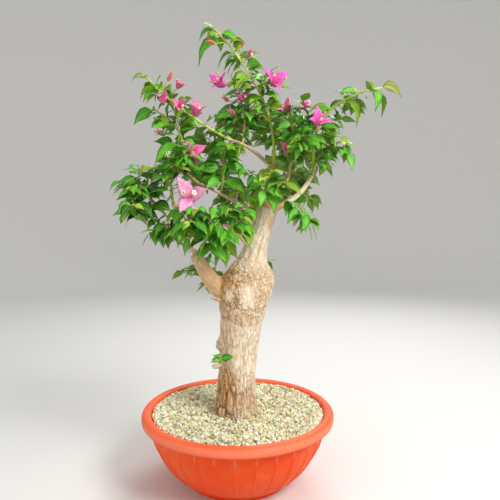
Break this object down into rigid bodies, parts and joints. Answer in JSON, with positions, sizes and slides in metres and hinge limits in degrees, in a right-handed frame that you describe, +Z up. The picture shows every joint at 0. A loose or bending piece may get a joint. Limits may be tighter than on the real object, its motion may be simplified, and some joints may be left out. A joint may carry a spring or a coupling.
{
  "type": "bougainvillea pre-bonsai in a plastic bowl",
  "caption": "Potted bougainvillea pre-bonsai: thick trunk with a sawn limb, thin boughs, a loose leafy crown with pink bracts, and gravel in a round plastic bowl.",
  "frame": {"origin": "centre of the bowl's flat underside", "axes": "+Z up along the trunk, +Y away from the side that the plant is seen from, +X towards the long shoot on the right"},
  "size_m": [0.4312, 0.3123, 0.704],
  "materials": {
    "bowl": "satin orange-red plastic, dusty",
    "gravel": "rough pale gravel",
    "bark": "rough furrowed bark",
    "foliage": "satin green leaves"
  },
  "bodies": {
    "root": {"bowl": "bowl", "gravel_bed": "gravel", "trunk": "bark", "leader": "bark", "sawn_limb": "bark", "leader_spur": "bark", "right_bough": "bark", "low_left_bough": "bark", "mid_left_bough": "bark", "far_left_bough": "bark", "upper_left_bough": "bark", "inner_right_bough": "bark", "back_left_bough": "bark", "back_right_bough": "bark", "top_spray": "foliage", "upper_left_spray": "foliage", "left_riser_spray": "foliage", "left_tip_spray": "foliage", "left_low_spray": "foliage", "left_droop_spray": "foliage", "mid_left_spray": "foliage", "mid_riser_spray": "foliage", "low_front_spray": "foliage", "low_arch_spray": "foliage", "low_mid_spray": "foliage", "front_spray": "foliage", "inner_right_spray": "foliage", "inner_top_spray": "foliage", "crown_spray": "foliage", "right_long_spray": "foliage", "right_spray": "foliage", "right_small_spray": "foliage", "back_left_spray": "foliage", "back_low_spray": "foliage", "back_riser_spray": "foliage", "back_right_spray": "foliage", "back_top_spray": "foliage", "back_right_low_spray": "foliage", "behind_limb_spray": "foliage", "behind_leader_spray": "foliage", "trunk_sprout": "foliage"}
  },
  "joints": []
}
